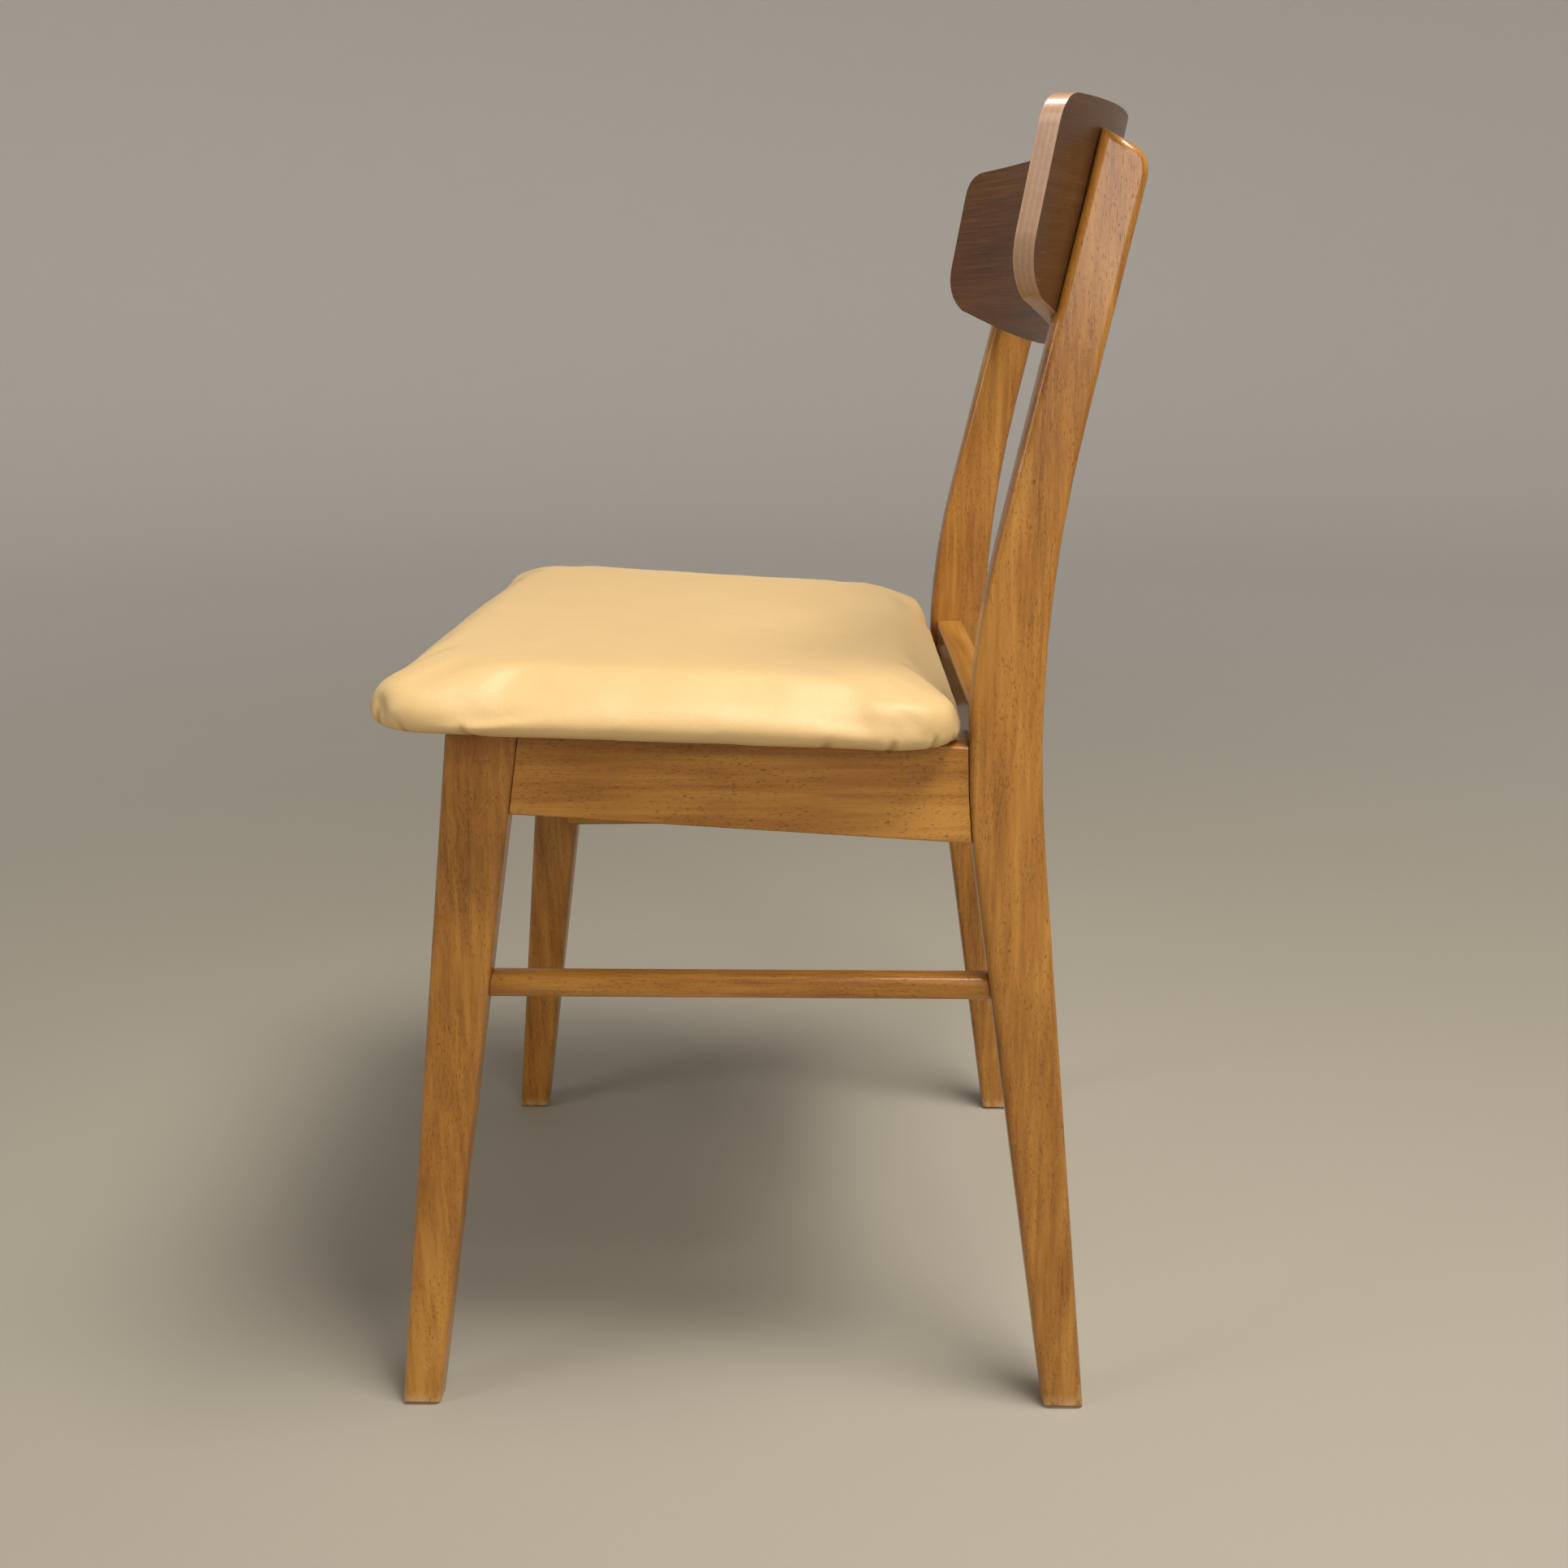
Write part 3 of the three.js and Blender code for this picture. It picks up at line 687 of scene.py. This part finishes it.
@dataclass
class BackPanel:
    """Bowed plywood panel with rounded edges, veneered on both faces."""

    thick: float = 9 * MM
    bow: float = 400 * MM
    lean: float = 0.19
    round_edge: float = 3.4 * MM
    sharp_turn: float = math.radians(50)
    face_cosine: float = 0.95

    def build(self) -> None:
        """Makes the panel from its CAD solid and dresses its faces and edges."""
        panel = merged_copy("back_panel", "back_panel_veneered")
        self.soften(panel)
        self.mark_layers(panel)
        dress(panel, TeakFinish().make())
        panel.data.materials.append(PlyEdgeFinish().make())
        self.paint_edges(panel)
        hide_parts("back_panel")

    def soften(self, panel: bpy.types.Object) -> None:
        """Rounds the rim all the way round.

        Args:
            panel: The panel.
        """
        finish_with(
            panel,
            "BEVEL",
            width=self.round_edge,
            segments=4,
            limit_method="ANGLE",
            angle_limit=self.sharp_turn,
            harden_normals=False,
        )
        only(panel)
        bpy.ops.object.shade_smooth_by_angle(angle=self.sharp_turn)
        finish_with(panel, "WEIGHTED_NORMAL", keep_sharp=True, weight=60)

    def bend_axis(self, height: float) -> float:
        """How far back the axis of the panel's bend lies.

        Args:
            height: Height above the floor.

        Returns:
            The axis's Y at that height.
        """
        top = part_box("back_panel")[1]
        return top[1] - self.lean * (top[2] - height) - self.thick - self.bow

    def depth_at(self, point: Vector) -> float:
        """How deep a point lies in the panel, from its front face.

        Args:
            point: A point of the panel.

        Returns:
            0 on the front face and 1 on the back face.
        """
        middle = Vector((0, self.bend_axis(point.z)))
        return ((Vector((point.x, point.y)) - middle).length - self.bow) / self.thick

    def mark_layers(self, panel: bpy.types.Object) -> None:
        """Stores each point's depth for the layered edge.

        Args:
            panel: The panel.
        """
        layer = panel.data.attributes.new("ply_depth", "FLOAT", "POINT")
        for vertex in panel.data.vertices:
            layer.data[vertex.index].value = self.depth_at(vertex.co)

    def paint_edges(self, panel: bpy.types.Object) -> None:
        """Gives the rim its own material.

        Args:
            panel: The panel.
        """
        for face in panel.data.polygons:
            out = Vector((face.center.x, face.center.y - self.bend_axis(face.center.z))).normalized()
            facing = Vector((out.x, out.y, -self.lean * out.y)).normalized()
            face.material_index = 1 if abs(face.normal.dot(facing)) < self.face_cosine else 0


@dataclass(frozen=True)
class Tuck:
    """A short fold in the cover's side, pressed in along an upright line, with a faint lip either side."""

    x: float
    y: float
    wide: float
    deep: float
    reach: float
    nearby: float = 40 * MM
    lip_out: float = 2.2
    lip_wide: float = 1.3
    lip_share: float = 0.25

    def fold(self, point: Vector, rise: float) -> tuple:
        """How a point of the cover takes part in the fold.

        Args:
            point: The point.
            rise: Its height above the pad's underside.

        Returns:
            How deep it lies in the fold, 0 to 1, and the share of the fold's depth that it moves in.
        """
        away = Vector((point.x - self.x, point.y - self.y))
        if away.length > self.nearby or rise > self.reach:
            return 0.0, 0.0
        out = Vector((self.x, self.y)).normalized()
        sideways = abs(away.x * out.y - away.y * out.x)
        fade = 1 - (rise / self.reach) ** 2
        depth = math.exp(-((sideways / self.wide) ** 2)) * fade
        lip = math.exp(-(((sideways - self.lip_out * self.wide) / (self.lip_wide * self.wide)) ** 2)) * fade
        return depth, depth - self.lip_share * lip


@dataclass
class SeatPad:
    """The padded seat: foam under leatherette drawn round the board."""

    slope: float = math.atan(0.06)
    voxel: float = 4.2 * MM
    board_drop: float = 5.2 * MM
    board_share: tuple = (0.835, 0.78, 1.0)
    board_clear: float = 5.6 * MM
    crown_from: float = 4 * MM
    crown_blend: float = 14 * MM
    crown_rise_mm: float = 1.0
    crown_edge_mm: float = 7.5
    crown_square: int = 12
    swell: float = 4.0
    stretch: float = 25
    bending: float = 2
    settle: int = 20
    hold: float = 1.6
    skirt: float = 5 * MM
    cap: float = 7 * MM
    rear_play: float = 0.5 * MM
    dimple_mm: float = 0.35
    dimples_per_metre: float = 38
    fill: float = 0.85
    tucks: tuple = (
        Tuck(0.2195, -0.2075, 2.0 * MM, 2.2 * MM, 12 * MM),
        Tuck(0.2270, -0.1880, 1.6 * MM, 1.3 * MM, 9 * MM),
        Tuck(0.2050, -0.2150, 1.8 * MM, 1.6 * MM, 10 * MM),
        Tuck(0.2280, -0.1540, 1.8 * MM, 2.0 * MM, 10 * MM),
        Tuck(0.2140, 0.0440, 2.6 * MM, 2.0 * MM, 7 * MM),
        Tuck(0.2070, 0.0790, 1.8 * MM, 2.4 * MM, 9 * MM),
        Tuck(0.1960, 0.1010, 1.8 * MM, 2.0 * MM, 11 * MM),
        Tuck(0.1840, 0.1120, 1.6 * MM, 1.4 * MM, 9 * MM),
        Tuck(-0.2200, -0.2070, 2.0 * MM, 2.2 * MM, 12 * MM),
        Tuck(-0.2280, -0.1850, 1.8 * MM, 1.4 * MM, 9 * MM),
        Tuck(-0.2060, -0.2150, 1.8 * MM, 1.6 * MM, 10 * MM),
        Tuck(-0.2150, 0.0300, 2.2 * MM, 1.6 * MM, 7 * MM),
        Tuck(-0.1970, 0.1000, 1.8 * MM, 2.2 * MM, 11 * MM),
        Tuck(-0.1850, 0.1120, 1.8 * MM, 1.6 * MM, 9 * MM),
    )

    def build(self) -> None:
        """Makes, swells, tucks and dresses the pad."""
        pad = self.blank()
        self.hollow(pad)
        self.remesh(pad)
        self.crown(pad)
        self.inflate(pad)
        finish_with(pad, "SUBSURF", levels=1, render_levels=1)
        self.press_tucks(pad)
        only(pad)
        bpy.ops.object.shade_smooth()
        dress(pad, LeatheretteFinish().make())
        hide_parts("seat_cover", "seat_foam")

    def local(self) -> Matrix:
        """The pad's own level frame, with its origin in the middle of the board.

        Returns:
            The matrix from the chair's frame to the pad's.
        """
        low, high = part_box("seat_cover")
        board_low, board_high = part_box("seat_board")
        middle = Vector((0, (low[1] + high[1]) / 2, (board_low[2] + board_high[2]) / 2))
        return Matrix.Rotation(self.slope, 4, "X") @ Matrix.Translation(-middle)

    def blank(self) -> bpy.types.Object:
        """The closed outer form of the pad.

        Returns:
            The blank.
        """
        pad = merged_copy("seat_cover", "seat_pad")
        editing(pad, bpy.ops.mesh.convex_hull)
        return pad

    def hollow(self, pad: bpy.types.Object) -> None:
        """Opens the underside, where the board shows inside the turned-under cover.

        Args:
            pad: The blank.
        """
        cutter = merged_copy("seat_board", "board_room")
        drop = Vector((0, 0, self.board_drop))
        middle = centre("seat_board") - drop
        editing(
            cutter,
            lambda: bpy.ops.transform.translate(value=-drop),
            lambda: bpy.ops.transform.resize(value=self.board_share, center_override=middle),
            bpy.ops.mesh.convex_hull,
        )
        finish_with(cutter, "SOLIDIFY", thickness=self.board_clear, offset=1.0)
        editing(cutter, bpy.ops.mesh.convex_hull)
        finish_with(pad, "BOOLEAN", operation="DIFFERENCE", object=cutter, solver="EXACT")
        bpy.data.objects.remove(cutter)

    def remesh(self, pad: bpy.types.Object) -> None:
        """Gives the pad an even skin.

        Args:
            pad: The pad.
        """
        finish_with(pad, "REMESH", mode="VOXEL", voxel_size=self.voxel, adaptivity=0.0)
        finish_with(pad, "SMOOTH", factor=0.5, iterations=6)

    def crown(self, pad: bpy.types.Object) -> None:
        """Thins the edges and raises the middle a little.

        Args:
            pad: The pad.
        """
        to_pad = self.local()
        back = to_pad.inverted()
        low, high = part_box("seat_cover")
        half = (high[0] - low[0]) / 2
        deep = (high[1] - low[1]) / 2
        for vertex in pad.data.vertices:
            p = to_pad @ vertex.co
            if p.z > self.crown_from:
                across = min(1, abs(p.x) / half) ** self.crown_square
                along = min(1, abs(p.y) / deep) ** self.crown_square
                change = (self.crown_rise_mm - self.crown_edge_mm * min(1, across + along)) * MM
                p.z += change * min(1, (p.z - self.crown_from) / self.crown_blend)
                vertex.co = back @ p

    def inflate(self, pad: bpy.types.Object) -> None:
        """Swells the cover by cloth pressure, with the underside held.

        Args:
            pad: The pad.
        """
        to_pad = self.local()
        start = [vertex.co.copy() for vertex in pad.data.vertices]
        held = pad.vertex_groups.new(name="held")
        bottom = min((to_pad @ co).z for co in start)
        for vertex in pad.data.vertices:
            rise = (to_pad @ vertex.co).z - bottom
            held.add([vertex.index], max(0.0, min(1.0, self.hold - rise / self.skirt)), "REPLACE")
        cloth = only(pad).modifiers.new("cloth", "CLOTH")
        cloth.settings.use_pressure = True
        cloth.settings.uniform_pressure_force = self.swell
        cloth.settings.vertex_group_mass = "held"
        cloth.settings.effector_weights.gravity = 0
        cloth.settings.quality = 5
        cloth.settings.tension_stiffness = self.stretch
        cloth.settings.compression_stiffness = self.stretch
        cloth.settings.bending_stiffness = self.bending
        cloth.point_cache.frame_start = 1
        cloth.point_cache.frame_end = self.settle
        scene = bpy.context.scene
        for number in range(1, self.settle + 1):
            scene.frame_set(number)
        bpy.ops.object.modifier_apply(modifier="cloth")
        scene.frame_set(1)
        self.hold_back(pad, start)

    def hold_back(self, pad: bpy.types.Object, start: list) -> None:
        """Caps how far each point of the swollen cover has moved.

        Args:
            pad: The pad.
            start: Where each point was.
        """
        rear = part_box("seat_cover")[1][1] + self.rear_play
        for vertex, was in zip(pad.data.vertices, start):
            moved = vertex.co - was
            if moved.length > self.cap:
                vertex.co = was + moved * (self.cap / moved.length)
            vertex.co.y = min(vertex.co.y, rear)
        finish_with(pad, "SMOOTH", factor=0.5, iterations=8)

    def press_tucks(self, pad: bpy.types.Object) -> None:
        """Presses the folds in and stores how deep each point lies in them.

        Args:
            pad: The pad.
        """
        to_pad = self.local()
        bottom = min((to_pad @ vertex.co).z for vertex in pad.data.vertices)
        normals = [vertex.normal.copy() for vertex in pad.data.vertices]
        folded = [0.0] * len(normals)
        for vertex, normal in zip(pad.data.vertices, normals):
            point = vertex.co.copy()
            rise = (to_pad @ point).z - bottom
            inward = -Vector((point.x, point.y, 0)).normalized()
            for tuck in self.tucks:
                depth, push = tuck.fold(point, rise)
                point += inward * tuck.deep * push
                folded[vertex.index] = max(folded[vertex.index], depth)
            vertex.co = point + normal * noise.noise(point * self.dimples_per_metre) * self.dimple_mm * MM
        layer = pad.data.attributes.new("tuck", "FLOAT", "POINT")
        layer.data.foreach_set("value", folded)


@dataclass
class HiddenPieces:
    """Corner blocks, dowels, screws, plugs and the board keep their CAD shape and get real finishes."""

    def build(self) -> None:
        """Dresses each remaining CAD node."""
        finishes = {
            "screw": ScrewFinish().make(),
            "plug": BeechFinish("beech_plug", Grain.UP, (9.0, 4.0, 2.0)).make(),
            "corner_block": RawWoodFinish("block_wood", Grain.ACROSS).make(),
            "dowel": RawWoodFinish(
                "dowel_wood", Grain.DEEP, body=(0.66, 0.50, 0.31), line=(0.50, 0.34, 0.19)
            ).make(),
            "seat_board": RawWoodFinish(
                "birch_ply", Grain.DEEP, body=(0.58, 0.42, 0.25), line=(0.42, 0.28, 0.14)
            ).make(),
        }
        for name, node in sorted(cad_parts.items()):
            for word, material in finishes.items():
                if word in name:
                    node.data.materials.clear()
                    node.data.materials.append(material)
                    LOG.info("dressed %s", name)
                    break


# ---- room -------------------------------------------------------------------
@dataclass(frozen=True)
class FloorFinish:
    """Pale matt floor, lighter far from the chair."""

    name: str = "pale_floor"
    sand: tuple = (0.385, 0.35, 0.28)
    shade: tuple = (0.35, 0.315, 0.25)
    speck: tuple = (0.30, 0.265, 0.21)
    far: tuple = (0.86, 0.83, 0.79)
    far_from: float = 2.4
    far_blend: float = 1.6
    speck_relief: float = 0.1 * MM

    def make(self) -> bpy.types.Material:
        """Builds the material.

        Returns:
            The material.
        """
        g = Graph(self.name)
        cloud = g.noise(g.place((0.9, 0.9, 0.9)), 3)
        speck = g.noise(g.place((900, 900, 900)), 2)
        colour = g.mix(cloud * 0.5, self.sand, self.shade)
        reach = g.node("ShaderNodeVectorMath", {"operation": "LENGTH"}, {0: g.place((1, 1, 1))}, "Value")
        colour = g.mix(reach.above(self.far_from, self.far_blend), colour, self.far)
        g.feed(Base_Color=g.mix(speck * 0.1, colour, self.speck), Roughness=0.62)
        g.relief(speck, self.speck_relief)
        return g.material


@dataclass(frozen=True)
class Lamp:
    """A soft square light aimed at the seat."""

    name: str
    place: tuple
    size: float
    power: float
    colour: tuple
    aim: tuple = (0, 0, 0.4)

    def hang(self) -> None:
        """Adds the light."""
        light = bpy.data.lights.new(self.name, "AREA")
        light.shape = "SQUARE"
        light.size = self.size
        light.energy = self.power
        light.color = self.colour
        lamp = bpy.data.objects.new(self.name, light)
        bpy.context.scene.collection.objects.link(lamp)
        lamp.location = self.place
        lamp.rotation_euler = (Vector(self.aim) - Vector(self.place)).to_track_quat("-Z", "Y").to_euler()


@dataclass
class Studio:
    """Plain pale floor, soft lights and the camera; each step of the cove is a share outwards and a rise."""

    floor_radius: float = 3.6
    floor_sides: int = 96
    floor_drop: float = 0.5 * MM
    cove: tuple = (
        (1.10, 0.02), (1.08, 0.08), (1.06, 0.16), (1.04, 0.26), (1.025, 0.34), (1.01, 0.4), (1.0, 2.4),
    )
    lamps: tuple = (
        Lamp("overhead", (0.55, 0.70, 2.4), 0.9, 60, (1.0, 0.975, 0.93)),
        Lamp("window", (1.3, -2.4, 1.7), 1.0, 16, (0.95, 0.97, 1.0)),
        Lamp("side", (2.5, 1.0, 1.5), 1.1, 26, (1.0, 0.97, 0.93)),
    )
    sky: tuple = (0.50, 0.475, 0.45)
    sky_strength: float = 0.36
    eye: tuple = (1.0695, 0.0449, 0.6471)
    heading: float = math.radians(90 + 1.6685)
    tilt: float = math.radians(15.661)
    roll: float = math.radians(-0.6498)
    lens: float = 36.574
    sensor: float = 36

    def build(self) -> None:
        """Sets up floor, world, lights and camera."""
        self.floor()
        self.world()
        for lamp in self.lamps:
            lamp.hang()
        self.camera()
        bpy.context.scene.view_settings.view_transform = "Standard"

    def floor(self) -> None:
        """A round pale floor whose rim turns up into a wall."""
        bpy.ops.object.select_all(action="DESELECT")
        bpy.ops.mesh.primitive_circle_add(
            vertices=self.floor_sides,
            radius=self.floor_radius,
            fill_type="NGON",
            location=(0, 0, -self.floor_drop),
        )
        sheet = bpy.context.object
        sheet.name = "floor"
        editing(sheet, self.turn_up)
        only(sheet)
        bpy.ops.object.shade_smooth()
        sheet.data.materials.append(FloorFinish().make())

    def turn_up(self) -> None:
        """Draws the floor's rim up and outwards, in edit mode."""
        bpy.ops.mesh.select_mode(type="EDGE")
        bpy.ops.mesh.region_to_loop()
        for out, up in self.cove:
            bpy.ops.mesh.extrude_edges_move(TRANSFORM_OT_translate={"value": (0, 0, up)})
            bpy.ops.transform.resize(value=(out, out, 1))

    def world(self) -> None:
        """Even pale surroundings."""
        world = bpy.context.scene.world or bpy.data.worlds.new("studio")
        bpy.context.scene.world = world
        world.use_nodes = True
        sky = world.node_tree.nodes["Background"]
        sky.inputs["Color"].default_value = rgba(self.sky)
        sky.inputs["Strength"].default_value = self.sky_strength

    def camera(self) -> None:
        """A camera beside the chair, looking slightly down."""
        camera = bpy.data.objects.new("camera", bpy.data.cameras.new("camera"))
        bpy.context.scene.collection.objects.link(camera)
        camera.data.lens = self.lens
        camera.data.sensor_width = self.sensor
        turn = (
            Matrix.Rotation(self.heading, 4, "Z")
            @ Matrix.Rotation(math.pi / 2 - self.tilt, 4, "X")
            @ Matrix.Rotation(self.roll, 4, "Z")
        )
        camera.matrix_world = Matrix.Translation(self.eye) @ turn
        bpy.context.scene.camera = camera


def main() -> None:
    """Builds the chair's looks and the studio."""
    logging.basicConfig(level=logging.INFO, format="%(message)s")
    Studio().build()
    BeechFrame().build()
    BackPanel().build()
    SeatPad().build()
    HiddenPieces().build()


if __name__ == "__main__":
    main()
